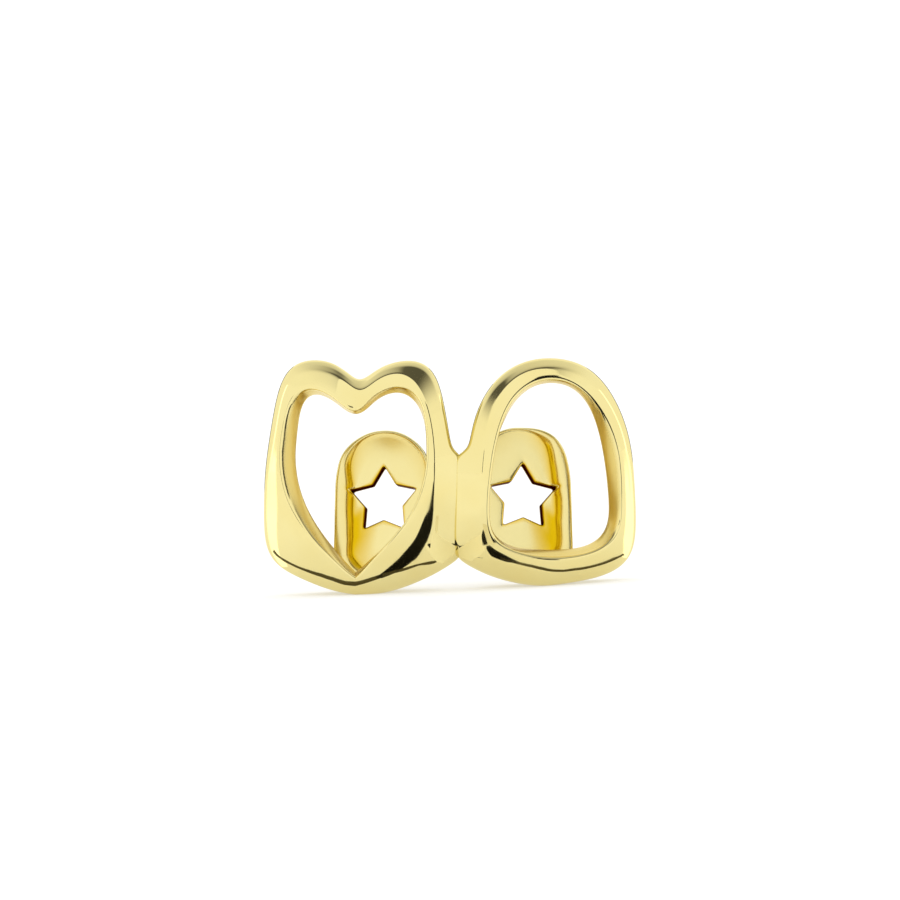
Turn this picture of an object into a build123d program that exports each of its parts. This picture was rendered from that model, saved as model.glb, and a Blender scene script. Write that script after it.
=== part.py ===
from build123d import *
from math import asin, atan, atan2, cos, degrees, hypot, radians, sin, sqrt, tan
import os

# A two tooth cover cast in one piece of gold: an open heart face and an open arch face, joined side by side
# at a narrow bridge. Under each face a floor runs back over the biting edge to a plate behind the tooth,
# which is pierced by a star.
# The sizes are in millimetres and degrees. The cover is drawn as it is worn: X runs across the two teeth,
# Y runs back into the mouth and Z runs up to the gum. The bridge is at X 0 and the heart cap hangs to Z 0.

# Sizes of the two caps, seen from the front
heart_width = 9.7
heart_height = 11.71
arch_width = 8.85
arch_height = 11.35
arch_lift = 0.43

# Sizes of the outline, seen from the front
bridge_top = 7.08
bridge_bottom = 1.7
notch_radius = 0.34

# Sizes of the front wall, seen from above
wall = 0.95
labial_radius = 9.3
side_turn = 75.0
crown_to_side = 6.9
groove_depth = 0.85
groove_radius = 0.5
ridge_across = 1.15
ridge_radius = 0.5

# The front bulges from top to bottom about a line across the mouth
bulge_radius = 15.5
bulge_height = 6.3
bulge_half_angle = 40.0

# The windows face outwards as their caps do, and narrow towards the tooth
window_yaw = 21.0
window_taper = 11.0
window_reach = 2.2
window_dip_radius = 0.3

# Sizes of the floor and of the sides that rise from it
rim_thickness = 0.9
floor_rim_height = 2.6
floor_gap = 1.0
floor_reach = 5.4
side_depth = 4.4
side_shoulder = 5.0
side_front = 3.2
side_top = 10.4

# Sizes of the plates behind the teeth
plate_thickness = 0.8
plate_width = 4.95
plate_yaw = 10.0
plate_lean = 12.0
plate_depth = 5.0
plate_taper = 1.2
plate_corner_radius = 2.1
heart_plate_across = 3.75
heart_plate_height = 8.06
heart_star_height = 4.58
arch_plate_across = 3.25
arch_plate_height = 8.2
arch_star_height = 4.72
flange_width = 0.85
flange_angle = 42.0
star_radius = 1.74
star_waist = 0.56

# The biting edges are worn flat by this much where they stand
worn_flat = 0.03

# Steps of the front's curve, places tried round the outline, and how far things run past what they are cut by
front_steps = 6
outline_samples = 600
far_back = 9.0
clear = 1.5

# Corners of the caps' outlines, from the notch over the top and down, as shares: across of the cap's width
# from the bridge, up of its height, and rounded of the corner's shorter side.
HEART_OUTLINE = (  # across, up, rounded
    (0.125, 1.000, 0.407),
    (0.342, 1.000, 0.499),
    (0.501, 0.909, 0.090),
    (0.667, 0.999, 0.464),
    (0.887, 0.999, 0.463),
    (1.000, 0.527, 0.432),
    (1.000, 0.139, 0.133),
    (0.480, -0.039, 0.436),
)
ARCH_OUTLINE = (
    (0.134, 0.836, 0.454),
    (0.347, 1.000, 0.465),
    (0.656, 1.000, 0.505),
    (0.858, 0.857, 0.485),
    (0.956, 0.672, 0.415),
    (1.000, 0.397, 0.395),
    (1.000, 0.048, 0.422),
    (0.463, -0.006, 0.430),
    (0.215, 0.015, 0.384),
)

# Points of the windows' front edges, as the same shares
HEART_WINDOW_TIP = (0.526, 0.080)
HEART_WINDOW_OUTER = (
    (0.660, 0.175),
    (0.799, 0.307),
    (0.886, 0.470),
    (0.905, 0.585),
    (0.892, 0.692),
    (0.859, 0.826),
    (0.763, 0.882),
    (0.640, 0.840),
    (0.580, 0.796),
)
HEART_WINDOW_DIP = (0.530, 0.772)
HEART_WINDOW_INNER = (
    (0.433, 0.839),
    (0.314, 0.890),
    (0.206, 0.850),
    (0.170, 0.760),
    (0.165, 0.598),
    (0.196, 0.418),
    (0.305, 0.253),
)
ARCH_WINDOW = (
    (0.173, 0.330),
    (0.238, 0.195),
    (0.407, 0.143),
    (0.628, 0.132),
    (0.811, 0.171),
    (0.898, 0.250),
    (0.908, 0.408),
    (0.876, 0.623),
    (0.765, 0.800),
    (0.609, 0.900),
    (0.444, 0.910),
    (0.306, 0.828),
    (0.233, 0.694),
    (0.188, 0.520),
)

FRONT = Plane(origin=(0, 0, 0), x_dir=(1, 0, 0), z_dir=(0, -1, 0))


def heart_point(across, up):
    return (-heart_width * across, heart_height * up)


def arch_point(across, up):
    return (arch_width * across, arch_lift + arch_height * up)


def touching_point(centre, radius, point, side):
    """The point of a circle where a line from the given point touches it."""
    dx = point[0] - centre[0]
    dy = point[1] - centre[1]
    turn = atan2(dy, dx) + side * (radians(90) - asin(radius / hypot(dx, dy)))
    return (centre[0] + radius * cos(turn), centre[1] + radius * sin(turn))


def nearest_corner(shape, x, y):
    """The corner of a flat shape that lies nearest to the given place."""
    return min(shape.vertices(), key=lambda corner: hypot(corner.X - x, corner.Y - y))


def rounding_radius(before, corner, after, rounded):
    """The radius that rounds a corner off over a share of its shorter side."""
    arriving = Vector(corner[0] - before[0], corner[1] - before[1])
    leaving = Vector(after[0] - corner[0], after[1] - corner[1])
    half_turn = radians(arriving.get_angle(leaving)) / 2
    return rounded * min(arriving.length, leaving.length) / tan(half_turn)


def outline():
    """The outline of both caps, seen from the front."""
    notch_centre = (0, bridge_top + notch_radius)
    heart_corners = [heart_point(across, up) for across, up, rounded in HEART_OUTLINE]
    arch_corners = [arch_point(across, up) for across, up, rounded in reversed(ARCH_OUTLINE)]
    notch_left = touching_point(notch_centre, notch_radius, heart_corners[0], 1)
    notch_right = touching_point(notch_centre, notch_radius, arch_corners[-1], -1)
    corners = [notch_left, *heart_corners, (0, bridge_bottom), *arch_corners, notch_right]
    edges = [Line(start, end) for start, end in zip(corners, corners[1:])]
    edges.append(ThreePointArc(notch_right, (0, bridge_top), notch_left))
    face = make_face(edges)
    heart_shares = [rounded for across, up, rounded in HEART_OUTLINE]
    arch_shares = [rounded for across, up, rounded in reversed(ARCH_OUTLINE)]
    sharp_notch = [0]
    shares = heart_shares + sharp_notch + arch_shares
    for before, corner, after, rounded in zip(corners, corners[1:], corners[2:], shares):
        if rounded:
            face = fillet(nearest_corner(face, *corner), rounding_radius(before, corner, after, rounded))
    return face


def inner_corner(corner, turn, inset):
    """Where a cap's front and the flank of the groove meet, when both are drawn in by an inset."""
    across, depth = corner
    flank = hypot(across, groove_depth - depth)
    front_normal = Vector(-sin(turn), cos(turn))
    flank_normal = Vector((groove_depth - depth) / flank, across / flank)
    drawn_in = (front_normal + flank_normal) * (inset / (1 + front_normal.dot(flank_normal)))
    return (across + drawn_in.X, depth + drawn_in.Y)


def front_curve(direction, width, inset):
    """One cap's front seen from above and drawn in by an inset, from the side to the ridge beside the bridge."""
    crown = width - crown_to_side
    radius = labial_radius - inset
    ridge_turn = asin((ridge_across - crown) / labial_radius)
    ridge = (ridge_across, labial_radius * (1 - cos(ridge_turn)))
    inner_turn = asin((inner_corner(ridge, ridge_turn, inset)[0] - crown) / radius)
    points = []
    for step in range(front_steps + 1):
        turn = radians(side_turn) + (inner_turn - radians(side_turn)) * step / front_steps
        points.append((direction * (crown + radius * sin(turn)), labial_radius - radius * cos(turn)))
    return points


def plan(inset):
    """The two caps filled in, seen from above where they stand out furthest, their fronts drawn in by an inset."""
    profile_back = bulge_radius - clear
    heart = front_curve(-1, heart_width, inset)
    arch = front_curve(1, arch_width, inset)
    groove = (0, groove_depth + 2 * inset * groove_depth / hypot(groove_depth, ridge_across))
    heart_back = (heart[0][0], profile_back)
    arch_back = (arch[0][0], profile_back)
    face = make_face(
        [
            Line(heart_back, heart[0]),
            Spline(*heart),
            Line(heart[-1], groove),
            Line(groove, arch[-1]),
            Spline(*reversed(arch)),
            Line(arch[0], arch_back),
            Line(arch_back, heart_back),
        ]
    )
    for place, radius in ((heart[-1], ridge_radius), (arch[-1], ridge_radius), (groove, groove_radius + inset)):
        face = fillet(nearest_corner(face, *place), radius)
    return face


def bulged(profile):
    """A shape drawn from above, turned about the line that the front bulges around."""
    axis = Axis((0, bulge_radius, bulge_height), (1, 0, 0))
    start = (Pos(0, 0, bulge_height) * profile).rotate(axis, -bulge_half_angle)
    return revolve(start, axis, 2 * bulge_half_angle)


def labial_depth(x, z, crown):
    """How far back the front surface lies at a place seen from the front."""
    flat_depth = labial_radius - sqrt(labial_radius ** 2 - (abs(x) - crown) ** 2)
    return bulge_radius - sqrt((bulge_radius - flat_depth) ** 2 - (z - bulge_height) ** 2)


def cap_plane(direction, across, up, yaw, lean, depth):
    """An upright plane that faces a cap from the front, turned outwards and leaned back."""
    turn = radians(yaw)
    tip = radians(lean)
    facing = Vector(direction * sin(turn) * cos(tip), -cos(turn) * cos(tip), sin(tip))
    upright = Vector(0, sin(tip), cos(turn) * cos(tip)).normalized()
    return Plane(origin=(direction * across, depth, up), x_dir=upright.cross(facing), z_dir=facing)


def window_cutter(direction, width, strokes, roundings):
    """A tool that opens one cap's front, from the strokes of its front edge and its rounded corners."""
    crown = width - crown_to_side
    places = [place for stroke in strokes for place in stroke]
    middle_x = (max(x for x, z in places) + min(x for x, z in places)) / 2
    middle_z = (max(z for x, z in places) + min(z for x, z in places)) / 2
    plane = cap_plane(direction, abs(middle_x), middle_z, window_yaw, 0, labial_depth(middle_x, middle_z, crown))
    half_height = max(z for x, z in places) - middle_z

    def ring(inwards):
        """The window's edge on a plane that lies so far inwards, closed."""
        share = 1 - inwards * tan(radians(window_taper)) / half_height
        edges = []
        for stroke in strokes:
            local = [plane.to_local_coords(Vector(x, labial_depth(x, z, crown), z)) for x, z in stroke]
            flat = [(share * point.X, share * point.Y) for point in local]
            edges.append(Spline(*flat))
        face = make_face(edges)
        for x, z, radius in roundings:
            corner = plane.to_local_coords(Vector(x, labial_depth(x, z, crown), z))
            face = fillet(nearest_corner(face, share * corner.X, share * corner.Y), share * radius)
        return plane.offset(-inwards) * face

    return loft([ring(-window_reach), ring(window_reach)])


def windows():
    """The tools that open the two fronts."""
    tip = heart_point(*HEART_WINDOW_TIP)
    dip = heart_point(*HEART_WINDOW_DIP)
    heart_strokes = (
        (tip, *[heart_point(*row) for row in HEART_WINDOW_OUTER], dip),
        (dip, *[heart_point(*row) for row in HEART_WINDOW_INNER], tip),
    )
    arch_places = [arch_point(*row) for row in ARCH_WINDOW]
    return (
        window_cutter(-1, heart_width, heart_strokes, ((*dip, window_dip_radius),)),
        window_cutter(1, arch_width, ((*arch_places, arch_places[0]),), ()),
    )


def plate_plane(direction, across, star_height):
    return cap_plane(direction, across, star_height, plate_yaw, plate_lean, plate_depth)


def star():
    """A five pointed star."""
    points = []
    for number in range(10):
        radius = star_radius if number % 2 == 0 else star_radius * star_waist
        turn = radians(90 + 36 * number)
        points.append((radius * cos(turn), radius * sin(turn)))
    return make_face(Polyline(*points, close=True))


def plate(direction, across, height, star_height):
    """The plate behind one tooth, with its outer edge turned towards the tooth, and its star."""
    plane = plate_plane(direction, across, star_height)
    half = plate_width / 2
    top = (height - star_height) / cos(radians(plate_lean))
    bottom = -star_height / cos(radians(plate_lean))
    inset = (top - bottom) * tan(radians(plate_taper))
    shape = make_face(Polyline((-half, bottom), (half, bottom), (half - inset, top), (inset - half, top), close=True))
    for side in (-1, 1):
        shape = fillet(nearest_corner(shape, side * (half - inset), top), plate_corner_radius)
    crease = half - flange_width
    bend = radians(flange_angle)
    rise = (flange_width + clear) * tan(bend)
    back = plate_thickness * tan(bend / 2)
    section = [
        (-direction * half, 0),
        (direction * crease, 0),
        (direction * (crease + flange_width + clear), rise),
        (direction * (crease + flange_width + clear), rise - plate_thickness / cos(bend)),
        (direction * (crease + back), -plate_thickness),
        (-direction * half, -plate_thickness),
    ]
    profile = make_face(Polyline(*[plane.from_local_coords((u, bottom, w)) for u, w in section], close=True))
    bent = extrude(profile, amount=top - bottom, dir=plane.y_dir)
    outline_block = extrude(plane * shape, amount=rise, both=True)
    inside = extrude(FRONT * outline(), amount=-far_back)
    return (bent & outline_block & inside) - extrude(plane * star(), amount=rise, both=True)


def behind_plate(direction, across, star_height):
    """All that lies behind one plate and the floor that meets it."""
    plane = plate_plane(direction, across, star_height).offset(-plate_thickness)
    return extrude(plane * Rectangle(3 * across, 4 * heart_height), amount=-far_back)


def tooth_room():
    """The room that the teeth fill, and all that is open above the floors and between them."""
    heart_edge = -heart_plate_across - plate_width / 2
    arch_edge = arch_plate_across + plate_width / 2
    over = heart_height + clear
    inside = extrude(FRONT * offset(outline(), amount=-rim_thickness), amount=-far_back)
    above_sides = (
        (0, over),
        (0, side_top),
        (side_front, side_top),
        (side_depth, side_shoulder),
        (side_depth, floor_rim_height),
        (far_back, floor_rim_height),
        (far_back, over),
    )
    side_plane = Plane(origin=(-heart_width - clear, 0, 0), x_dir=(0, 1, 0), z_dir=(1, 0, 0))
    room = inside + extrude(
        side_plane * make_face(Polyline(*above_sides, close=True)), amount=heart_width + arch_width + 2 * clear
    )
    middle = Pos((heart_edge + arch_edge) / 2, far_back / 2, (floor_rim_height + over) / 2)
    room = room + middle * Box(arch_edge - heart_edge, far_back, over - floor_rim_height)
    room = room + Pos(0, far_back / 2, over / 2 - clear) * Box(floor_gap, far_back, over)
    for direction, width, across, edge, star_height in (
        (-1, heart_width, heart_plate_across, heart_edge, heart_star_height),
        (1, arch_width, arch_plate_across, arch_edge, arch_star_height),
    ):
        corner = (
            (edge, floor_reach),
            (edge, far_back),
            (direction * (width + clear), far_back),
            (direction * (width + clear), side_depth),
            (direction * width, side_depth),
        )
        cut_corner = extrude(Pos(0, 0, -clear) * make_face(Polyline(*corner, close=True)), amount=over + clear)
        room = room + cut_corner + behind_plate(direction, across, star_height)
    return room & bulged(plan(wall))


def resting_roll():
    """The roll that lays both biting edges on one level surface, in degrees."""
    wire = outline().face().outer_wire()
    places = [wire.position_at(step / outline_samples) for step in range(outline_samples)]
    heart_side = [place for place in places if place.X < 0 and place.Y < bridge_bottom]
    arch_side = [place for place in places if place.X > 0 and place.Y < bridge_bottom]
    slopes = [
        min((right.Y - left.Y) / (right.X - left.X) for right in arch_side)
        for left in heart_side
    ]
    return degrees(atan(max(slopes)))


def tooth_cover():
    """The whole cover, as it stands on its biting edges."""
    cover = (extrude(FRONT * outline(), amount=-far_back) & bulged(plan(0))) - tooth_room()
    for window in windows():
        cover = cover - window
    cover = cover + plate(-1, heart_plate_across, heart_plate_height, heart_star_height)
    cover = cover + plate(1, arch_plate_across, arch_plate_height, arch_star_height)
    cover = Rot(0, resting_roll(), 0) * cover
    box = cover.bounding_box()
    cover = Pos(-box.center().X, -box.center().Y, -box.min.Z - worn_flat) * cover
    table = Pos(0, 0, -clear) * Box(4 * heart_width, 4 * floor_reach, 2 * clear)
    return cover - table


os.makedirs("parts", exist_ok=True)
export_step(tooth_cover(), "parts/tooth_cover.step")
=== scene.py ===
"""Dressing and studio for a two-tooth grillz cover, cast in one piece of polished yellow gold.

Sizes are in millimetres as the cover is worn: X across the teeth, Y back into the mouth and Z up to the
gum, with the bridge between the caps at X 0. The mesh is turned and moved to its standing place last.
"""

import logging
import math
from dataclasses import dataclass, field
from enum import Enum
from typing import Iterable, Mapping, Sequence, TypeVar

import bmesh
import bpy
from mathutils import Matrix, Vector


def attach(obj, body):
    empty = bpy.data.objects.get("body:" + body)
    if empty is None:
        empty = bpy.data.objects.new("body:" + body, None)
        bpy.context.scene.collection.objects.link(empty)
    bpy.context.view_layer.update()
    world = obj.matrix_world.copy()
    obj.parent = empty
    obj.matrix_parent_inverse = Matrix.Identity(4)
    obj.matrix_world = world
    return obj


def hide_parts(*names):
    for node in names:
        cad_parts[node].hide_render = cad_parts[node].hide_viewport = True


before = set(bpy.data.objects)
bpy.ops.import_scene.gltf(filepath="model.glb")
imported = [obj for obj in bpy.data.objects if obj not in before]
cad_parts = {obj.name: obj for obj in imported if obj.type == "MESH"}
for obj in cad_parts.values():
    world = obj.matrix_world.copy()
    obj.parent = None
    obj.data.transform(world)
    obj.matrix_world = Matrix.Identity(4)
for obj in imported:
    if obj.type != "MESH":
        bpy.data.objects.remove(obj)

LOG = logging.getLogger("tooth_cover")
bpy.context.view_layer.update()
MILLIMETRE = 0.001
BLACK = (0.0, 0.0, 0.0)
WHITE = (1.0, 1.0, 1.0)
Point = tuple[float, float]
Colour = tuple[float, float, float]
Measure = TypeVar("Measure", float, Vector)
Piece = bpy.types.Object
Paint = bpy.types.Material
Socket = bpy.types.NodeSocket


class Side(Enum):
    """The side of the bridge that a cap stands on, seen from the front."""

    HEART = -1
    ARCH = 1


@dataclass(frozen=True)
class Standing:
    """How the worn cover is turned and moved so that it stands on its biting edges."""

    roll_degrees: float = 2.6324
    shift: tuple[float, float, float] = (0.2784, -3.3409, -0.2543)

    def matrix(self) -> Matrix:
        """Return the matrix from worn millimetres to standing metres."""
        roll = Matrix.Rotation(math.radians(self.roll_degrees), 4, "Y")
        return Matrix.Scale(MILLIMETRE, 4) @ Matrix.Translation(self.shift) @ roll


class Recipe:
    """A node material being put together round its shader."""

    def __init__(self, name: str) -> None:
        """Start a material.

        Args:
            name: The material's name.
        """
        self.material = bpy.data.materials.new(name)
        self.material.use_nodes = True
        self.nodes = self.material.node_tree.nodes
        self.shader = self.nodes["Principled BSDF"]

    def feed(self, node: bpy.types.Node, inputs: Mapping[str | int, object]) -> None:
        """Set a node's inputs.

        Args:
            node: The node.
            inputs: The value of each input, or the socket that feeds it.
        """
        for name, source in inputs.items():
            if isinstance(source, Socket):
                self.material.node_tree.links.new(source, node.inputs[name])
            else:
                node.inputs[name].default_value = source

    def add(self, kind: str, inputs: Mapping[str | int, object]) -> bpy.types.Node:
        """Add a node with its inputs set.

        Args:
            kind: Blender's name for the kind of node.
            inputs: The value or socket for each input.

        Returns:
            The new node.
        """
        node = self.nodes.new(kind)
        self.feed(node, inputs)
        return node

    def place(self, kind: str) -> Socket:
        """Return a kind of texture coordinate."""
        return self.nodes.new("ShaderNodeTexCoord").outputs[kind]

    def mark(self, name: str) -> Socket:
        """Read a share that the mesh carries.

        Args:
            name: The mark's name on the mesh.

        Returns:
            The share.
        """
        attribute = self.nodes.new("ShaderNodeAttribute")
        attribute.attribute_name = name
        return attribute.outputs["Fac"]

    def noise(self, place: Socket, scale: float, detail: float) -> Socket:
        """Return a cloudy pattern."""
        noise = self.add("ShaderNodeTexNoise", {"Vector": place, "Scale": scale, "Detail": detail})
        return noise.outputs["Fac"]

    def share(self, source: Socket, span: Point, result: Point = (0.0, 1.0)) -> Socket:
        """Draw a value's place in a span out over a result.

        Args:
            source: The value.
            span: Where the value starts and ends.
            result: What it then starts and ends at.

        Returns:
            The value's place, drawn out.
        """
        inputs = {
            "Value": source,
            "From Min": span[0],
            "From Max": span[1],
            "To Min": result[0],
            "To Max": result[1],
        }
        return self.add("ShaderNodeMapRange", inputs).outputs["Result"]

    def ramp(
        self, source: Socket, stops: Sequence[tuple[float, Colour]], interpolation: str = "LINEAR"
    ) -> Socket:
        """Read colours from a ramp.

        Args:
            source: The value that is looked up.
            stops: Rising places on the ramp with their colours.
            interpolation: How the ramp runs between them.

        Returns:
            The colour there.
        """
        node = self.add("ShaderNodeValToRGB", {"Fac": source})
        node.color_ramp.interpolation = interpolation
        elements = node.color_ramp.elements
        while len(elements) < len(stops):
            elements.new(0.5)
        for element, (position, colour) in zip(elements, stops):
            element.position = position
            element.color = (*colour, 1.0)
        return node.outputs["Color"]

    def blend(self, share: Socket, first: object, second: object) -> Socket:
        """Blend two colours.

        Args:
            share: How far the blend has gone to the second colour.
            first: A socket, or a colour with its alpha.
            second: The same for the second colour.

        Returns:
            The blend.
        """
        mix = self.nodes.new("ShaderNodeMix")
        mix.data_type = "RGBA"
        self.feed(mix, {0: share, 6: first, 7: second})
        return mix.outputs[2]


def grey(share: float) -> Colour:
    """Return a grey of this brightness."""
    return (share, share, share)


def greys(stops: Sequence[Point]) -> list[tuple[float, Colour]]:
    """Return a ramp's stops from places and brightnesses."""
    return [(place, grey(share)) for place, share in stops]


@dataclass(frozen=True)
class PolishedGold:
    """Mirror polished yellow gold, with the faint waves and hairlines that polishing leaves.

    The mesh marks where the metal is only satin, and how much shade is painted into its recesses: half
    way it takes a painted deep gold reflection, and all the way a painted brown shade.
    """

    name: str = "polished_gold"
    colour: Colour = (0.83, 0.725, 0.335)
    warm_colour: Colour = (0.82, 0.70, 0.30)
    # painted reflection and painted shade colours for the recesses
    painted_reflection_colour: Colour = (0.70, 0.45, 0.004)
    painted_shade_colour: Colour = (0.17, 0.062, 0.008)
    roughness: float = 0.045
    rough_patch: float = 0.095
    satin_roughness: float = 0.3
    wave_scale: float = 420.0
    wave_strength: float = 0.035
    wave_height: float = 0.0001
    hairline_scale: float = 5200.0
    hairline_stretch: float = 0.12
    hairline_strength: float = 0.012
    hairline_height: float = 0.00002

    def build(self) -> Paint:
        """Build the node material, which reads Object coordinates and the mesh's own marks only.

        Returns:
            The material.
        """
        recipe = Recipe(self.name)
        place = recipe.place("Object")
        cloud = recipe.noise(place, self.wave_scale, 2.0)
        recipe.feed(recipe.shader, {"Metallic": 1.0})
        self.tint(recipe, cloud)
        self.gloss(recipe, cloud)
        self.relief(recipe, place, cloud)
        return recipe.material

    def tint(self, recipe: Recipe, cloud: Socket) -> None:
        """Colour the metal, with a painted reflection and painted shade in its recesses.

        Args:
            recipe: The material being put together.
            cloud: The cloudy pattern of the polish.
        """
        # painted shade: marked places take a painted deep gold reflection, then a painted brown shade that
        # also darkens the specular tint
        painted_shade = recipe.mark("painted_shade")
        colour = recipe.ramp(cloud, ((0.35, self.colour), (0.75, self.warm_colour)))
        colour = recipe.blend(recipe.share(painted_shade, (0.0, 0.5)), colour, (*self.painted_reflection_colour, 1.0))
        shade_share = recipe.share(painted_shade, (0.5, 1.0))
        colour = recipe.blend(shade_share, colour, (*self.painted_shade_colour, 1.0))
        edge = recipe.blend(shade_share, (*WHITE, 1.0), (*self.painted_shade_colour, 1.0))
        recipe.feed(recipe.shader, {"Base Color": colour, "Specular Tint": edge})

    def gloss(self, recipe: Recipe, cloud: Socket) -> None:
        """Polish the metal, less in patches and where it is marked as satin.

        Args:
            recipe: The material being put together.
            cloud: The cloudy pattern of the polish.
        """
        polish = recipe.share(cloud, (0.4, 0.7), (self.roughness, self.rough_patch))
        inputs = {"Factor": recipe.mark("satin"), "A": polish, "B": self.satin_roughness}
        rough = recipe.add("ShaderNodeMix", inputs)
        recipe.feed(recipe.shader, {"Roughness": rough.outputs["Result"]})

    def relief(self, recipe: Recipe, place: Socket, cloud: Socket) -> None:
        """Raise the polishing waves and the hairlines on them.

        Args:
            recipe: The material being put together.
            place: Where on the piece the pattern is read.
            cloud: The cloudy pattern of the polish.
        """
        scale = (1.0, 1.0, self.hairline_stretch)
        stretched = recipe.add("ShaderNodeMapping", {"Vector": place, "Scale": scale}).outputs["Vector"]
        hair = recipe.noise(stretched, self.hairline_scale, 3.0)
        waves = {"Height": cloud, "Strength": self.wave_strength, "Distance": self.wave_height}
        hairs = {"Height": hair, "Strength": self.hairline_strength, "Distance": self.hairline_height}
        waved = recipe.add("ShaderNodeBump", waves).outputs["Normal"]
        normal = recipe.add("ShaderNodeBump", {**hairs, "Normal": waved}).outputs["Normal"]
        recipe.feed(recipe.shader, {"Normal": normal})


@dataclass(frozen=True)
class StudioPaint:
    """A plain matt paint for the table and the cards, with a barely visible mottle."""

    name: str
    colour: Colour
    glow: float = 0.0
    mottle: float = 0.01
    mottle_scale: float = 60.0

    def build(self) -> Paint:
        """Build the matt material.

        Returns:
            The material.
        """
        recipe = Recipe(self.name)
        mottle = recipe.noise(recipe.place("Object"), self.mottle_scale, 2.0)
        red, green, blue = (share * (1 - self.mottle) for share in self.colour)
        inputs = {
            "Base Color": recipe.ramp(mottle, ((0.0, (red, green, blue)), (1.0, self.colour))),
            "Roughness": 0.9,
            "Specular IOR Level": 0.1,
            "Emission Color": (*WHITE, 1.0),
            "Emission Strength": self.glow,
        }
        recipe.feed(recipe.shader, inputs)
        return recipe.material


@dataclass(frozen=True)
class FadedPaint:
    """A matt paint lit from below, whose colour and glow fade into the table's away from its middle."""

    name: str
    colours: tuple[float, float]
    glows: tuple[float, float]
    radii: tuple[float, float]

    def build(self) -> Paint:
        """Build a matt material that fades by distance in Object coordinates.

        Returns:
            The material.
        """
        recipe = Recipe(self.name)
        distance = recipe.add("ShaderNodeVectorMath", {0: recipe.place("Object")})
        distance.operation = "LENGTH"
        share = recipe.share(distance.outputs["Value"], self.radii)
        share.node.interpolation_type = "SMOOTHSTEP"
        inputs = {
            "Base Color": recipe.ramp(share, greys(list(enumerate(self.colours)))),
            "Roughness": 0.9,
            "Specular IOR Level": 0.1,
            "Emission Color": recipe.ramp(share, greys(list(enumerate(self.glows)))),
            "Emission Strength": 1.0,
        }
        recipe.feed(recipe.shader, inputs)
        return recipe.material


@dataclass(frozen=True)
class GradedPaint:
    """A paint for a card that glows ever brighter from its lower edge upwards, and towards its ends."""

    name: str
    glows: Sequence[Point]
    end_glow: float = 1.1
    end_shares: Sequence[Point] = ((0.03, 1.0), (0.24, 0.0), (0.76, 0.0), (0.97, 1.0))

    def build(self) -> Paint:
        """Build a glowing material, graded by the card's UV map.

        Returns:
            The material.
        """
        recipe = Recipe(self.name)
        split = recipe.add("ShaderNodeSeparateXYZ", {"Vector": recipe.place("UV")})
        upwards = recipe.ramp(split.outputs["Y"], greys(self.glows))
        ends = recipe.ramp(split.outputs["X"], greys(self.end_shares), "EASE")
        inputs = {
            "Base Color": (*BLACK, 1.0),
            "Roughness": 1.0,
            "Specular IOR Level": 0.0,
            "Emission Color": recipe.blend(ends, upwards, (*grey(self.end_glow), 1.0)),
            "Emission Strength": 1.0,
        }
        recipe.feed(recipe.shader, inputs)
        return recipe.material


def cubic(t: float, first: Measure, start: Measure, second: Measure, end: Measure) -> Measure:
    """Blend smoothly from one value to another.

    Args:
        t: The share of the way gone.
        first: The value at the start.
        start: The slope there.
        second: The value at the end.
        end: The slope there.

    Returns:
        The value on the way.
    """
    leaving = (2 * t**3 - 3 * t**2 + 1) * first + (t**3 - 2 * t**2 + t) * start
    return leaving + (3 * t**2 - 2 * t**3) * second + (t**3 - t**2) * end


def flowing(points: Sequence[Point], steps: int = 12) -> list[Point]:
    """Draw a smooth closed line through points.

    Args:
        points: The places that the line passes, in order.
        steps: Places drawn from one point to the next.

    Returns:
        The places along the line.
    """
    line: list[Point] = []
    count = len(points)
    for index in range(count):
        a, b, c, d = (Vector(points[(index + shift) % count]) for shift in (-1, 0, 1, 2))
        ab, bc, cd = ((q - p).length ** 0.5 for p, q in ((a, b), (b, c), (c, d)))
        start = ((b - a) / ab - (c - a) / (ab + bc) + (c - b) / bc) * bc
        end = ((c - b) / bc - (d - b) / (bc + cd) + (d - c) / cd) * bc
        line.extend(tuple(cubic(step / steps, b, start, c, end)) for step in range(steps))
    return line


def along_ray(line: Sequence[Point], centre: Point, degrees: float) -> float:
    """Measure how far a closed line lies from a centre in one direction.

    Args:
        line: The closed line, which goes once round the centre.
        centre: Where the ray starts.
        degrees: The ray's direction, 0 to the right and 90 up.

    Returns:
        The furthest crossing's distance.
    """
    dx, dz = math.cos(math.radians(degrees)), math.sin(math.radians(degrees))
    furthest = 0.0
    for (x0, z0), (x1, z1) in zip(line, [*line[1:], line[0]]):
        side0 = dx * (z0 - centre[1]) - dz * (x0 - centre[0])
        side1 = dx * (z1 - centre[1]) - dz * (x1 - centre[0])
        if side0 == side1 or (side0 > 0) == (side1 > 0):
            continue
        share = side0 / (side0 - side1)
        x, z = x0 + share * (x1 - x0), z0 + share * (z1 - z0)
        furthest = max(furthest, dx * (x - centre[0]) + dz * (z - centre[1]))
    return furthest


def by_angle(table: Sequence[Point], degrees: float) -> float:
    """Read a table of values against directions, smoothly and round the full turn.

    Args:
        table: Rows of direction and value, in rising order from 0 to under 360.
        degrees: The direction asked for.

    Returns:
        The value there.
    """
    turn = degrees % 360
    count = len(table)
    rows = [(table[n % count][0] + 360 * (n // count), table[n % count][1]) for n in range(-2, count + 2)]
    for (a0, v0), (a1, v1), (a2, v2), (a3, v3) in zip(rows, rows[1:], rows[2:], rows[3:]):
        if a1 <= turn <= a2:
            width = a2 - a1
            rise = (v2 - v1) / width
            start, end = (v2 - v0) / (a2 - a0), (v3 - v1) / (a3 - a1)
            start = 0.0 if start * rise <= 0 else math.copysign(min(abs(start), 2 * abs(rise)), rise)
            end = 0.0 if end * rise <= 0 else math.copysign(min(abs(end), 2 * abs(rise)), rise)
            return cubic((turn - a1) / width, v1, width * start, v2, width * end)
    return rows[-1][1]


def limited(value: float, low: float = 0.0, high: float = 1.0) -> float:
    """Return a value kept between two limits."""
    return max(low, min(high, value))


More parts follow.
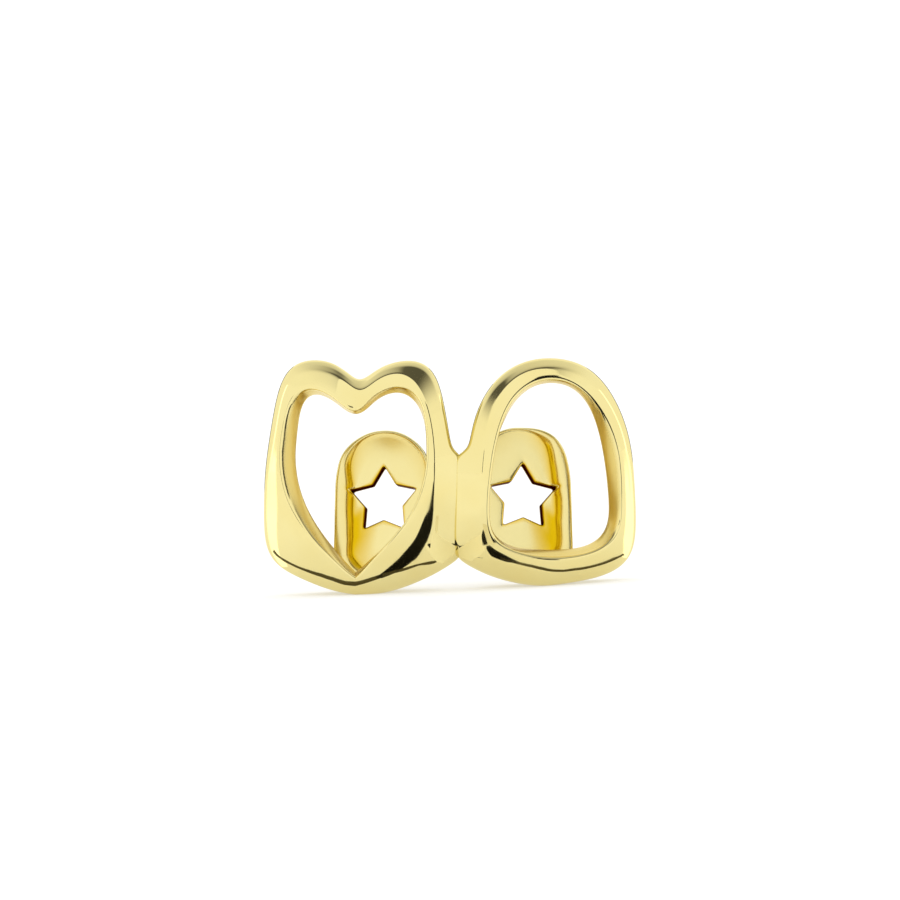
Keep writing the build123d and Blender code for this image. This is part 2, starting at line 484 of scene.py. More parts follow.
def eased(loop: Sequence[Vector], kept: Sequence[int], passes: int = 2) -> list[Vector]:
    """Even out the small waves of a closed loop.

    Args:
        loop: The loop's places.
        kept: Stations that stay where they are.
        passes: How often each place is drawn towards its neighbours.

    Returns:
        The evened loop.
    """
    places = list(loop)
    for _ in range(passes):
        round_again = [*places, places[0]]
        places = [
            place if number in kept else 0.5 * place + 0.25 * (places[number - 1] + round_again[number + 1])
            for number, place in enumerate(places)
        ]
    return places


def deselect() -> None:
    """Leave nothing selected, so that an operator acts on its own piece alone."""
    bpy.ops.object.select_all(action="DESELECT")


def extrude_in_place() -> None:
    """Extrude what is selected without moving it yet."""
    bpy.ops.mesh.extrude_region_move(TRANSFORM_OT_translate={"value": (0.0, 0.0, 0.0)})


def ring_of_loops(
    name: str, loops: Sequence[Sequence[Vector]], finish: Sequence[Sequence[Point]], sharp: Iterable[int] = ()
) -> Piece:
    """Model a closed ring: a circle is shaped, extruded from loop to loop and merged with its start.

    Args:
        name: The new piece's name.
        loops: Loops of places with the same count; each runs all the way round the ring.
        finish: How satin the metal is and how much shade is painted on it at each place, 0 for full polish
            and open faces.
        sharp: Stations round the loops whose edges from loop to loop stay sharp when subdivided.

    Returns:
        The piece, with its normals pointing outwards.
    """
    # the marks are the satin share and the painted shade
    marks = ("satin", "painted_shade")
    deselect()
    bpy.ops.mesh.primitive_circle_add(vertices=len(loops[0]), radius=1.0)
    piece = bpy.context.object
    piece.name = name
    piece.data.name = name
    bpy.ops.object.mode_set(mode="EDIT")
    mesh = bmesh.from_edit_mesh(piece.data)
    station = mesh.verts.layers.int.new("station")
    layers = [mesh.verts.layers.float.new(mark) for mark in marks]
    for number, vertex in enumerate(sorted(mesh.verts, key=lambda v: v.index)):
        vertex[station] = number
        vertex.co = loops[0][number]
        for layer, share in zip(layers, finish[0][number]):
            vertex[layer] = share
    bmesh.update_edit_mesh(piece.data)
    for loop, shares in zip((*loops[1:], loops[0]), (*finish[1:], finish[0])):
        extrude_in_place()
        mesh = bmesh.from_edit_mesh(piece.data)
        station = mesh.verts.layers.int["station"]
        layers = [mesh.verts.layers.float[mark] for mark in marks]
        for vertex in mesh.verts:
            if vertex.select:
                vertex.co = loop[vertex[station]]
                for layer, share in zip(layers, shares[vertex[station]]):
                    vertex[layer] = share
        bmesh.update_edit_mesh(piece.data)
    bpy.ops.mesh.select_all(action="SELECT")
    bpy.ops.mesh.remove_doubles(threshold=1e-5)
    bpy.ops.mesh.normals_make_consistent(inside=False)
    mesh = bmesh.from_edit_mesh(piece.data)
    station = mesh.verts.layers.int["station"]
    crease = mesh.edges.layers.float.get("crease_edge") or mesh.edges.layers.float.new("crease_edge")
    kept = set(sharp)
    for edge in mesh.edges:
        first, second = (vertex[station] for vertex in edge.verts)
        if first == second and first in kept:
            edge[crease] = 1.0
    bmesh.update_edit_mesh(piece.data)
    bpy.ops.object.mode_set(mode="OBJECT")
    return piece


def rows_of_faces(name: str, rows: Sequence[Sequence[Vector]]) -> Piece:
    """Model an open sheet: one edge of a plane is kept, shaped and extruded from row to row.

    Args:
        name: The new sheet's name.
        rows: Rows of two places each.

    Returns:
        The sheet.
    """
    deselect()
    bpy.ops.mesh.primitive_plane_add(size=1.0)
    sheet = bpy.context.object
    sheet.name = name
    bpy.ops.object.mode_set(mode="EDIT")
    mesh = bmesh.from_edit_mesh(sheet.data)
    bmesh.ops.delete(mesh, geom=[vertex for vertex in mesh.verts if vertex.co.y > 0], context="VERTS")
    for vertex in mesh.verts:
        vertex.co = rows[0][0] if vertex.co.x < 0 else rows[0][1]
        vertex.select = True
    mesh.select_flush(True)
    for edge in mesh.edges:
        edge.select = True
    bmesh.update_edit_mesh(sheet.data)
    for before, row in zip(rows, rows[1:]):
        extrude_in_place()
        mesh = bmesh.from_edit_mesh(sheet.data)
        for vertex in mesh.verts:
            if vertex.select:
                nearest = 0 if (vertex.co - before[0]).length < (vertex.co - before[1]).length else 1
                vertex.co = row[nearest]
        bmesh.update_edit_mesh(sheet.data)
    bpy.ops.object.mode_set(mode="OBJECT")
    return sheet


def subdivide(piece: Piece, levels: int = 2) -> None:
    """Round a piece's cage with a Subdivision Surface modifier and apply it.

    Args:
        piece: The cage.
        levels: How often each face is divided.
    """
    bpy.context.view_layer.objects.active = piece
    modifier = piece.modifiers.new("round", "SUBSURF")
    modifier.levels = levels
    modifier.render_levels = levels
    bpy.ops.object.modifier_apply(modifier=modifier.name)


@dataclass
class OpenCap:
    """One cap: the open front wall, the side edge, and the floor under the window.

    The cap is a ring round its window. Tables are read by direction from the cap's middle,
    0 to the right and 90 up. From the window outwards a section runs over the face to its ridge, folds
    down a short slope to the foot, on over the flank to the turn, and down the edge band to the rim.
    """

    side: Side
    width: float
    middle: Point
    silhouette: Sequence[Point]
    window: Sequence[Point]
    edge_band: Sequence[Point]
    face_edge: Sequence[Point]
    rear_edge: Sequence[Point]
    corner_roll: Sequence[Point]
    softness: Sequence[Point]
    floor: Sequence[Point]
    spans: Sequence[tuple[float, float, float]]
    sharp_station: float | None = None
    labial_radius: float = 9.3
    crown_to_side: float = 6.9
    bulge_radius: float = 15.5
    bulge_height: float = 6.3
    wall: float = 0.95
    rim_thickness: float = 0.8
    least_wall: float = 0.45
    least_face: float = 0.25
    least_fold: float = 0.1
    support: float = 0.13
    turn_support: float = 0.09
    roll_width: float = 1.9
    fold_slopes: tuple[float, float, float] = (0.9, 1.0, 1.2)
    flank_widths: Point = (0.28, 0.4)
    flank_slope: float = 0.58
    flank_ease: Point = (0.25, 0.15)
    foot_shares: tuple[float, float, float] = (0.08, 0.6, 0.35)
    floor_thickness: float = 0.9
    floor_depths: Point = (4.9, 5.35)
    floor_slope: float = 0.176
    floor_start: float = 3.75
    steepest_floor: float = 0.55
    satin_rows: Sequence[int] = (0, 1, 2, 19, 20, 21, 22, 23, 24, 25)
    # satin share and painted shade for the satin rows, the reveal and inner walls; the open face takes
    # neither
    satin: Point = (1.0, 0.18)
    open_face: Point = (0.0, 0.0)

    @property
    def crown(self) -> float:
        """Return how far from the bridge the front stands out most."""
        return self.width - self.crown_to_side

    def bulge(self, z: float, flat: float = 0.0) -> float:
        """Measure how far the front falls back at a height, where it already lies back by flat."""
        rise = z - self.bulge_height
        return self.bulge_radius - math.sqrt((self.bulge_radius - flat) ** 2 - rise**2)

    def depth(self, x: float, z: float, inset: float = 0.0) -> float:
        """Measure how far back the front lies.

        Args:
            x: Place across.
            z: Place up.
            inset: 0 for the front itself, the wall's thickness for its back.

        Returns:
            The depth there.
        """
        radius = self.labial_radius - inset
        across = limited((abs(x) - self.crown) / radius, -1.0)
        return self.bulge(z, self.labial_radius - radius * math.sqrt(max(0.0, 1 - across**2)))

    def directions(self) -> list[float]:
        """Lay the stations out round the window, the nearest one moved onto the sharp corner.

        Returns:
            The stations' directions.
        """
        turns = []
        for first, last, step in self.spans:
            turns.extend(first + step * number for number in range(round((last - first) / step)))
        if self.sharp_station is not None:
            nearest = min(range(len(turns)), key=lambda number: abs(turns[number] - self.sharp_station))
            turns[nearest] = self.sharp_station
        return turns

    def section(self, degrees: float, lines: Sequence[Sequence[Point]]) -> list[Vector]:
        """Place one section of the ring.

        Args:
            degrees: The section's direction.
            lines: The silhouette, the window's front edge, the face's outer edge and the window's back edge,
                drawn finely.

        Returns:
            The section's places, from the window's back edge over the front and round behind.
        """
        dx, dz = math.cos(math.radians(degrees)), math.sin(math.radians(degrees))
        rim, opening, face, behind = (along_ray(line, self.middle, degrees) for line in lines)
        band = by_angle(self.edge_band, degrees)
        turn = rim - band
        ridge = max(min(face, turn - self.least_fold), opening + self.least_face)
        flank = turn - ridge

        def across_up(radius: float) -> Point:
            """Return the place across and up at a distance in this direction."""
            return self.middle[0] + radius * dx, self.middle[1] + radius * dz

        def place(radius: float, y: float) -> Vector:
            """Return the place at a distance and depth in this direction."""
            x, z = across_up(radius)
            return Vector((x, y, z))

        def front(radius: float) -> float:
            """Return the front's depth at a distance, with its rolled corner."""
            share = max(0.0, 1 - (ridge - radius) / self.roll_width)
            return self.depth(*across_up(radius)) + by_angle(self.corner_roll, degrees) * share**2

        def beside(radius: float) -> float:
            """Measure the flank that falls back from the ridge towards the bridge.

            Args:
                radius: Distance from the cap's middle.

            Returns:
                Its depth.
            """
            toward = -self.side.value * (radius - ridge) * dx
            fall = self.bulge(across_up(radius)[1]) - self.bulge(across_up(ridge)[1])
            eased_by, eased_for = self.flank_ease
            slope = self.flank_slope * (max(0.0, toward) - eased_by * min(eased_for, toward))
            return front(ridge) + fall + slope

        def back(radius: float) -> float:
            """Return the depth of the wall's back at a distance."""
            where = across_up(radius)
            return max(self.depth(*where, self.wall), self.depth(*where) + self.wall)

        def on_face(radius: float) -> Vector:
            """Return a place on the face."""
            return place(radius, front(radius))

        def on_back(radius: float) -> Vector:
            """Return a place on the wall's back."""
            return place(radius, back(radius))

        soft = min(by_angle(self.softness, degrees), 0.45 * (ridge - opening))
        narrow, wide = self.flank_widths
        flank_share = limited((flank - narrow) / (wide - narrow))
        least_foot, soft_foot, flank_foot = self.foot_shares
        near_foot = min(max(least_foot, soft_foot * soft), flank_foot * flank)
        foot = ridge + 0.5 * flank + (near_foot - 0.5 * flank) * flank_share
        to_foot, to_turn, to_rim = self.fold_slopes
        plain_foot = front(ridge) + to_foot * (foot - ridge)
        foot_depth = plain_foot + (beside(foot) - plain_foot) * flank_share
        plain_turn = foot_depth + to_turn * (turn - foot)
        turn_depth = plain_turn + (beside(turn) - plain_turn) * flank_share
        rim_depth = turn_depth + to_rim * band

        plain_back = max(back(rim), rim_depth + self.rim_thickness)
        first_depth, last_depth = self.floor_depths
        sloping = first_depth + self.floor_slope * (abs(across_up(rim)[0]) - self.floor_start)
        floor_back = max(min(sloping, last_depth), plain_back)
        back_edge = plain_back + by_angle(self.floor, degrees) * (floor_back - plain_back)
        floor_step = self.floor_thickness / max(self.steepest_floor, abs(dz))
        step = min(floor_step, rim - behind - self.least_wall)
        inside = rim - step
        deep = max(0.0, back_edge - back(inside))
        floor_edge = back(inside) + deep

        small = self.support
        lip = min(small, 0.4 * deep)
        reveal = opening - behind
        reveal_depth = back(behind) - front(opening)
        rise = turn_depth - foot_depth
        drop = rim_depth - turn_depth
        near = min(0.3, self.turn_support / max(0.01, turn - foot))
        return [
            # the reveal, from the window's back edge to its front edge
            place(behind, back(behind) - small),
            place(behind + 0.3 * reveal, back(behind) - 0.45 * reveal_depth),
            place(behind + 0.75 * reveal, front(opening) + 0.25 * reveal_depth),
            place(opening, front(opening) + 0.8 * small),
            # the face, up to its ridge
            on_face(opening + 0.8 * small),
            on_face((opening + ridge) / 2),
            on_face(ridge - soft),
            on_face(ridge),
            # the flank, to its turn
            place(foot, foot_depth),
            place(foot + 0.45 * (turn - foot), foot_depth + 0.45 * rise),
            place(turn - near * (turn - foot), turn_depth - near * rise),
            place(turn, turn_depth),
            # the edge band, the rim and the edge behind it
            place(turn + 0.45 * band, turn_depth + 0.38 * drop),
            place(turn + 0.9 * band, turn_depth + 0.8 * drop),
            place(rim, rim_depth + 0.1),
            place(rim, rim_depth + 0.4),
            place(rim, back_edge - small),
            place(rim - small, back_edge),
            # the floor or side, and the wall's back
            place(inside + min(small, 0.3 * step), floor_edge),
            place(inside, floor_edge),
            place(inside, floor_edge - lip),
            place(inside, back(inside) + lip),
            place(inside - min(small, 0.3 * (inside - behind)), back(inside - small)),
            on_back((inside + behind) / 2),
            on_back(behind + small),
            on_back(behind),
        ]

    def build(self) -> Piece:
        """Build the cap.

        Returns:
            Its piece, in worn millimetres.
        """
        lines = [flowing(line) for line in (self.silhouette, self.window, self.face_edge, self.rear_edge)]
        directions = self.directions()
        sections = [self.section(degrees, lines) for degrees in directions]
        sharp = [] if self.sharp_station is None else [directions.index(self.sharp_station)]
        loops = [eased(row, sharp) for row in zip(*sections)]
        marks = [self.satin if row in self.satin_rows else self.open_face for row in range(len(loops))]
        finish = [[mark] * len(directions) for mark in marks]
        piece = ring_of_loops(f"{self.side.name.lower()}_cap", loops, finish, sharp)
        subdivide(piece)
        LOG.info("%s: %d faces", piece.name, len(piece.data.polygons))
        return piece


@dataclass
class StarPlate:
    """The plate behind one tooth: arch topped, its edge turned forwards, pierced by a star.

    Tables are read by direction from the star's middle: lip is the width of the turned edge, and deep is how
    much shade is painted into the corner beside it. The shade tables and star walls go by the section's rows.
    """

    side: Side
    across: float
    star_height: float
    outline: Sequence[Point]
    lip: Sequence[Point]
    deep: Sequence[Point]
    border_rise: float = 0.34
    least_lip: float = 0.18
    full_lip: float = 0.78
    thickness: float = 0.8
    yaw: float = 10.0
    lean: float = 12.0
    depth: float = 5.0
    star_radius: float = 1.76
    star_waist: float = 0.56
    star_turn: float = 72.0
    stations: int = 80
    support: float = 0.09
    satin: float = 0.6
    # painted shade by row: along the crease, and in the corner beside the turned edge
    crease_shade: Sequence[float] = (0.0, 0.0, 0.0, 0.0, 0.0, 0.3, 0.58, 0.5, 0.05)
    corner_shade: Sequence[float] = (0.0, 0.0, 0.0, 0.8, 0.95, 1.0, 1.0, 0.7, 0.0)
    # the star's walls by row: satin share and painted shade
    star_walls: Sequence[Point] = ((0.4, 1.0), (0.4, 1.0), (0.4, 0.75))

    def plane(self) -> Matrix:
        """Place the plate behind its tooth.

        Returns:
            The matrix from the plate's own across, up and forwards to worn millimetres.
        """
        turn, tip = math.radians(self.yaw), math.radians(self.lean)
        direction = self.side.value
        level = math.cos(turn) * math.cos(tip)
        facing = Vector((direction * math.sin(turn) * math.cos(tip), -level, math.sin(tip)))
        upright = Vector((0.0, math.sin(tip), level)).normalized()
        across = upright.cross(facing)
        matrix = Matrix((across, upright, facing)).transposed().to_4x4()
        matrix.translation = (direction * self.across, self.depth, self.star_height)
        return matrix

    def star(self, degrees: float) -> float:
        """Measure the star in one direction.

        Args:
            degrees: The direction from the star's middle.

        Returns:
            How far away its edge lies.
        """
        turn = (degrees - 90) % self.star_turn
        turn = math.radians(min(turn, self.star_turn - turn))
        half = math.radians(self.star_turn / 2)
        waist_radius = self.star_radius * self.star_waist
        tip = Vector((self.star_radius, 0.0))
        along = Vector((waist_radius * math.cos(half), waist_radius * math.sin(half))) - tip
        ray = Vector((math.cos(turn), math.sin(turn)))
        return (tip.x * along.y - tip.y * along.x) / (ray.x * along.y - ray.y * along.x)

    def lip_share(self, degrees: float) -> float:
        """Return how fully the edge is turned forwards in one direction."""
        return limited((by_angle(self.lip, degrees) - self.least_lip) / (self.full_lip - self.least_lip))

    def section(self, degrees: float, edge: Sequence[Point]) -> list[Point]:
        """Place one section of the plate.

        Args:
            degrees: The section's direction.
            edge: The outline, drawn finely.

        Returns:
            Distances from the star's middle with heights forwards, from the star's wall round the plate.
        """
        small = self.support
        rim = along_ray(edge, (0.0, 0.0), degrees)
        hole = self.star(degrees)
        lip = by_angle(self.lip, degrees)
        share = self.lip_share(degrees)
        rise = self.border_rise * (0.2 + 0.8 * share)
        ramp = min(0.5 * lip, 0.08 + 0.32 * share)
        crease = rim - lip
        back = -self.thickness
        edge_back = back + 0.6 * rise

        def front(radius: float) -> Point:
            """Place a point on the plate's front, kept clear of the star.

            Args:
                radius: Distance from the star's middle.

            Returns:
                The distance kept and the height there.
            """
            beyond = 0.3 * max(0.0, radius - crease + 0.2)
            clear = max(radius, min(hole + small + beyond, rim - 0.14))
            climb = limited((clear - crease) / ramp)
            return clear, rise * climb * climb * (3 - 2 * climb)

        wall_height = front(hole)[1]
        return [
            # the star's wall and the plate's front, up to the crease
            (hole, back + small),
            (hole, wall_height - small),
            (hole + 0.2 * small, wall_height - 0.2 * small),
            front(hole + small),
            front(hole + 0.5 * (crease - hole)),
            front(crease - 0.1),
            # the turned edge
            front(crease + 0.25 * ramp),
            front(crease + 0.6 * ramp),
            front(crease + ramp),
            front(rim - 0.12),
            (rim - 0.03, rise - 0.04),
            (rim, rise - 0.14),
            # the back
            (rim, edge_back + small),
            (rim - 0.02, edge_back),
            (rim - small, edge_back - 0.02),
            (rim - 0.35 * (rim - hole), back),
            (hole + 0.35 * (rim - hole), back),
            (hole + small, back),
            (hole, back),
        ]

    def mark(self, row: int, degrees: float) -> Point:
        """Say how the metal is finished in one place.

        Args:
            row: The row of the section.
            degrees: The section's direction.

        Returns:
            How satin it is and how much shade is painted on it.
        """
        if row < len(self.star_walls):
            return self.star_walls[row]
        if row >= len(self.crease_shade):
            return self.satin, 0.0
        # painted shade in the crease and in the corner
        crease = (0.2 + 0.8 * self.lip_share(degrees)) * self.crease_shade[row]
        corner = max(0.0, by_angle(self.deep, degrees)) * self.corner_shade[row]
        return self.satin, max(crease, corner)

    def build(self) -> Piece:
        """Build the plate.

        Returns:
            Its piece, in worn millimetres.
        """
        edge = flowing(self.outline)
        plane = self.plane()
        forwards = Vector((0.0, 0.0, 1.0))
        directions = [360 * number / self.stations for number in range(self.stations)]
        sections = []
        for degrees in directions:
            ray = Vector((math.cos(math.radians(degrees)), math.sin(math.radians(degrees)), 0.0))
            rows = self.section(degrees, edge)
            sections.append([plane @ (radius * ray + height * forwards) for radius, height in rows])
        loops = list(zip(*sections))
        finish = [[self.mark(row, degrees) for degrees in directions] for row in range(len(loops))]
        piece = ring_of_loops(f"{self.side.name.lower()}_plate", loops, finish)
        subdivide(piece, 1)
        LOG.info("%s: %d faces", piece.name, len(piece.data.polygons))
        return piece


HEART_CAP = OpenCap(
    side=Side.HEART,
    width=9.7,
    middle=(-5.0, 6.0),
    silhouette=(
        (0.25, 2.5), (0.25, 3.3), (0.25, 4.5), (0.25, 5.6), (0.25, 6.6), (0.2, 7.0), (0.0, 7.07),
        (-0.22, 7.12), (-0.34, 7.4), (-0.5, 8.28), (-0.65, 9.18), (-0.8, 9.9), (-1.0, 10.75),
        (-1.3, 11.33), (-1.75, 11.65), (-2.3, 11.71), (-3.2, 11.6), (-3.85, 11.3), (-4.35, 10.96),
        (-4.72, 10.68), (-4.9, 10.6), (-5.08, 10.7), (-5.4, 10.98), (-5.9, 11.33), (-6.5, 11.62),
        (-7.2, 11.70), (-7.95, 11.6), (-8.43, 11.3), (-8.72, 10.85), (-8.92, 10.3), (-9.15, 9.2),
        (-9.4, 7.7), (-9.6, 6.2), (-9.68, 4.6), (-9.69, 3.2), (-9.62, 2.15), (-9.4, 1.68), (-9.05, 1.35),
        (-8.5, 1.03), (-7.7, 0.7), (-6.8, 0.35), (-5.9, 0.09), (-4.9, 0.0), (-3.8, 0.07), (-2.9, 0.3),
        (-1.9, 0.69), (-1.0, 1.14), (-0.3, 1.57), (0.05, 1.8), (0.2, 2.05),
    ),
    window=(
        (-5.1, 0.93), (-4.51, 1.56), (-3.7, 2.46), (-3.13, 3.1), (-2.56, 3.84), (-2.15, 4.57),
        (-1.83, 5.46), (-1.64, 6.4), (-1.6, 7.2), (-1.62, 8.2), (-1.7, 9.0), (-1.95, 9.85),
        (-2.48, 10.34), (-3.05, 10.42), (-3.62, 10.24), (-4.18, 9.85), (-4.75, 9.25), (-5.12, 9.12),
        (-5.57, 9.29), (-6.14, 9.77), (-6.7, 10.2), (-7.35, 10.33), (-7.95, 10.1), (-8.33, 9.6),
        (-8.5, 8.9), (-8.70, 7.8), (-8.78, 6.8), (-8.66, 5.63), (-8.33, 4.57), (-7.76, 3.6),
        (-7.11, 2.7), (-6.4, 2.05), (-5.81, 1.48),
    ),
    edge_band=(
        (0, 0.14), (27, 0.16), (38.8, 0.2), (49, 0.24), (56, 0.26), (66, 0.26), (115, 0.26), (130, 0.24),
        (150, 0.22), (200, 0.2), (215, 0.24), (224.8, 0.34), (231.7, 0.37), (240.3, 0.42), (258.3, 0.36),
        (264, 0.36), (270, 0.43), (277, 0.6), (284, 0.7), (293, 0.7), (301, 0.6), (309.5, 0.42),
        (317, 0.44), (321, 0.42), (326, 0.2), (332, 0.14),
    ),
    face_edge=(
        (-1.19, 6.7), (-1.22, 5.4), (-1.25, 4.1), (-1.32, 3.0), (-1.52, 2.15), (-1.95, 1.62),
        (-2.6, 1.27), (-3.4, 0.97), (-4.25, 0.68), (-5.0, 0.47), (-5.57, 0.41), (-6.14, 0.52),
        (-6.95, 0.83), (-7.76, 1.16), (-8.57, 1.5), (-9.08, 1.87), (-9.33, 2.4), (-9.4, 3.2),
        (-9.4, 4.6), (-9.32, 6.2), (-9.11, 7.7), (-8.86, 9.2), (-8.62, 10.2), (-8.3, 10.8),
        (-7.8, 11.13), (-7.2, 11.24), (-6.6, 11.15), (-6.0, 10.88), (-5.5, 10.53), (-5.12, 10.24),
        (-4.88, 10.14), (-4.65, 10.23), (-4.3, 10.5), (-3.8, 10.85), (-3.2, 11.12), (-2.75, 11.13),
        (-2.44, 10.92), (-2.07, 10.42), (-1.75, 9.77), (-1.42, 8.88), (-1.26, 7.9),
    ),
    rear_edge=(
        (-5.1, 1.15), (-4.4, 1.78), (-3.6, 2.45), (-3.03, 3.1), (-2.47, 3.84), (-2.07, 4.57),
        (-1.76, 5.46), (-1.58, 6.4), (-1.55, 7.2), (-1.6, 8.0), (-1.75, 8.88), (-1.9, 9.3),
        (-2.25, 9.78), (-2.65, 10.06), (-3.1, 10.13), (-3.55, 10.03), (-4.0, 9.74), (-4.55, 9.18),
        (-5.08, 8.95), (-5.65, 9.18), (-6.3, 9.74), (-6.7, 9.98), (-7.1, 10.06), (-7.5, 9.9),
        (-7.76, 9.5), (-7.88, 8.9), (-8.0, 7.9), (-8.08, 6.9), (-8.0, 5.9), (-7.78, 5.0), (-7.4, 4.1),
        (-6.85, 3.2), (-6.2, 2.35), (-5.6, 1.65),
    ),
    corner_roll=(
        (0, 0.0), (60, 0.0), (180, 0.0), (262, 0.0), (285, 0.1), (303, 0.2), (318, 0.2), (335, 0.1),
        (350, 0.02),
    ),
    softness=(
        (0, 0.14), (40, 0.12), (62, 0.16), (120, 0.16), (150, 0.4), (180, 0.55), (215, 0.4), (235, 0.2),
        (290, 0.18), (302, 0.5), (315, 0.7), (328, 0.5), (345, 0.2),
    ),
    floor=((0, 0.0), (200, 0.0), (230, 1.0), (306, 1.0), (313, 0.0)),
    spans=((0, 20, 2.5), (20, 75, 5), (75, 105, 2.5), (105, 270, 5), (270, 360, 2.5)),
    sharp_station=268.87,
)

ARCH_CAP = OpenCap(
    side=Side.ARCH,
    width=8.85,
    middle=(4.9, 6.0),
    silhouette=(
        (-0.25, 2.5), (-0.2, 2.05), (-0.05, 1.8), (0.25, 1.6), (0.6, 1.39), (1.1, 1.13), (1.8, 0.85),
        (2.6, 0.63), (3.4, 0.48), (4.2, 0.43), (5.2, 0.52), (6.2, 0.67), (7.1, 0.84), (7.75, 1.08),
        (8.25, 1.38), (8.58, 1.72), (8.78, 2.25), (8.84, 3.2), (8.82, 4.2), (8.76, 5.3), (8.66, 6.6),
        (8.55, 7.38), (8.3, 8.4), (7.97, 9.25), (7.5, 10.13), (6.8, 10.98), (6.1, 11.45), (5.3, 11.7),
        (4.4, 11.78), (3.5, 11.68), (2.8, 11.43), (2.1, 10.98), (1.5, 10.32), (1.0, 9.45), (0.7, 8.58),
        (0.55, 7.8), (0.47, 7.4), (0.3, 7.13), (0.05, 7.07), (-0.2, 7.0), (-0.25, 6.5), (-0.25, 5.6),
        (-0.25, 4.5), (-0.25, 3.3),
    ),
    window=(
        (1.53, 5.06), (1.51, 4.3), (1.56, 3.6), (1.72, 3.05), (2.08, 2.64), (2.71, 2.29), (3.6, 2.03),
        (4.58, 1.9), (5.56, 1.93), (6.37, 2.07), (7.15, 2.35), (7.67, 2.76), (7.95, 3.27), (8.05, 4.0),
        (8.04, 5.06), (7.95, 6.28), (7.75, 7.45), (7.34, 8.55), (6.77, 9.45), (6.12, 10.14),
        (5.39, 10.57), (4.66, 10.71), (3.93, 10.63), (3.28, 10.3), (2.71, 9.77), (2.32, 9.1),
        (2.04, 8.31), (1.82, 7.4), (1.65, 6.28),
    ),
    edge_band=(
        (0, 0.2), (40, 0.22), (60, 0.25), (115, 0.25), (135, 0.22), (160, 0.15), (180, 0.14),
        (212, 0.14), (221, 0.42), (226, 0.6), (231, 0.74), (240, 0.82), (250, 0.8), (258.6, 0.73),
        (268, 0.64), (278, 0.52), (286, 0.52), (295, 0.54), (303.7, 0.45), (310.4, 0.28), (320, 0.22),
        (340, 0.2),
    ),
    face_edge=(
        (1.15, 5.06), (1.12, 3.84), (1.13, 3.2), (1.18, 2.7), (1.29, 2.27), (1.53, 1.94), (1.95, 1.7),
        (2.4, 1.54), (3.12, 1.36), (3.93, 1.19), (4.74, 1.1), (5.56, 1.1), (6.37, 1.24), (7.18, 1.45),
        (7.83, 1.64), (8.27, 1.95), (8.48, 2.5), (8.55, 3.2), (8.54, 4.2), (8.48, 5.3), (8.38, 6.6),
        (8.24, 7.38), (7.98, 8.3), (7.62, 9.1), (7.1, 9.95), (6.5, 10.62), (5.9, 11.03), (5.2, 11.27),
        (4.4, 11.34), (3.6, 11.24), (3.0, 11.0), (2.5, 10.6), (2.06, 10.02), (1.65, 9.12), (1.41, 8.31),
        (1.29, 7.33), (1.18, 6.27),
    ),
    rear_edge=(
        (1.5, 5.06), (1.5, 4.3), (1.55, 3.6), (1.72, 3.1), (2.1, 2.72), (2.75, 2.42), (3.6, 2.3),
        (4.6, 2.26), (5.6, 2.28), (6.3, 2.4), (6.8, 2.63), (7.18, 2.95), (7.4, 3.4), (7.46, 4.1),
        (7.38, 5.3), (7.25, 6.4), (7.06, 7.5), (6.8, 8.5), (6.45, 9.35), (6.0, 9.98), (5.35, 10.4),
        (4.55, 10.53), (3.75, 10.4), (3.2, 10.06), (2.75, 9.6), (2.4, 9.0), (2.12, 8.4), (1.85, 7.7),
        (1.65, 6.7), (1.53, 5.9),
    ),
    corner_roll=(
        (0, 0.0), (150, 0.0), (205, 0.03), (220, 0.12), (232, 0.18), (246, 0.12), (265, 0.02),
        (290, 0.0),
    ),
    softness=(
        (0, 0.5), (30, 0.35), (62, 0.17), (115, 0.15), (140, 0.12), (200, 0.12), (215, 0.14),
        (226, 0.18), (238, 0.2), (255, 0.16), (290, 0.2), (330, 0.4),
    ),
    floor=((0, 0.0), (222, 0.0), (240, 1.0), (306, 1.0), (335, 0.0)),
    spans=((0, 160, 5), (160, 270, 2.5), (270, 360, 5)),
)

HEART_PLATE = StarPlate(
    side=Side.HEART,
    across=3.75,
    star_height=4.58,
    outline=(
        (2.45, -3.0), (2.45, -1.5), (2.43, 0.0), (2.38, 1.3), (2.1, 2.35), (1.5, 3.05), (0.75, 3.45),
        (0.0, 3.56), (-0.75, 3.45), (-1.5, 3.05), (-2.1, 2.35), (-2.38, 1.3), (-2.45, 0.0),
        (-2.47, -1.5), (-2.47, -3.0), (-2.3, -3.7), (-1.2, -4.0), (0.0, -4.05), (1.2, -3.9), (2.1, -3.5),
    ),
    lip=(
        (0, 0.28), (45, 0.25), (90, 0.22), (110, 0.3), (130, 0.65), (150, 0.95), (165, 0.97),
        (180, 0.95), (195, 0.98), (210, 1.1), (225, 1.34), (232, 1.5), (245, 1.0), (260, 0.4),
        (330, 0.25),
    ),
    deep=((0, 0.0), (188, 0.0), (200, 0.3), (212, 0.5), (235, 0.52), (248, 0.3), (262, 0.0)),
)

ARCH_PLATE = StarPlate(
    side=Side.ARCH,
    across=3.25,
    star_height=4.72,
    outline=(
        (2.45, -3.0), (2.45, -1.5), (2.42, 0.0), (2.34, 1.3), (2.02, 2.5), (1.45, 3.2), (0.75, 3.5),
        (0.0, 3.56), (-0.75, 3.5), (-1.5, 3.15), (-2.1, 2.4), (-2.38, 1.3), (-2.45, 0.0), (-2.47, -1.5),
        (-2.43, -2.8), (-2.0, -3.5), (-1.2, -3.82), (0.0, -4.0), (1.2, -4.0), (2.25, -3.65),
    ),
    lip=(
        (0, 0.85), (30, 1.05), (50, 1.1), (70, 0.6), (90, 0.2), (130, 0.15), (230, 0.15), (270, 0.2),
        (285, 0.6), (300, 1.3), (320, 1.1), (340, 0.9),
    ),
    deep=((0, 0.0), (276, 0.0), (290, 0.35), (303, 0.52), (325, 0.5), (340, 0.2), (352, 0.0)),
)


